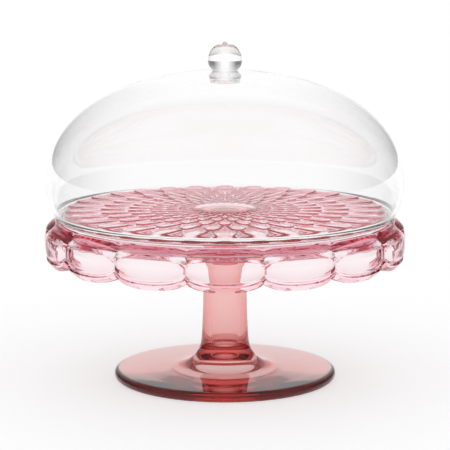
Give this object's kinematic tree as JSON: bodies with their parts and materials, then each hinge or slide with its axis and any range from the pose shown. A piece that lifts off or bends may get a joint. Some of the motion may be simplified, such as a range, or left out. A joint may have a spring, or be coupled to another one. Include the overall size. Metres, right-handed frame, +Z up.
{
  "type": "cake stand with dome",
  "caption": "Pedestal cake stand: hollow-stemmed foot, round plate with a lobed skirt, and a lift-off clear dome with a knob.",
  "frame": {"origin": "on the floor, on the axis of the stem", "axes": "+Z up along the stem, the way the dome lifts off; -Y is the front, where one lobe of the skirt is centred"},
  "size_m": [0.2796, 0.2787, 0.2584],
  "materials": {
    "salmon_acrylic": "gloss",
    "rose_acrylic": "gloss",
    "clear_acrylic": "gloss",
    "clear_silicone": "satin"
  },
  "bodies": {
    "stand": {"foot": "salmon_acrylic", "stem_ring": "clear_silicone", "plate": "rose_acrylic"},
    "cover": {"dome": "clear_acrylic", "knob_washer": "clear_silicone", "knob": "clear_acrylic", "knob_nut": "clear_acrylic"}
  },
  "joints": [
    {"name": "dome_lift", "type": "slide", "parent": "stand", "child": "cover", "axis": [0, 0, 1], "range_m": [0, 0.16]}
  ]
}
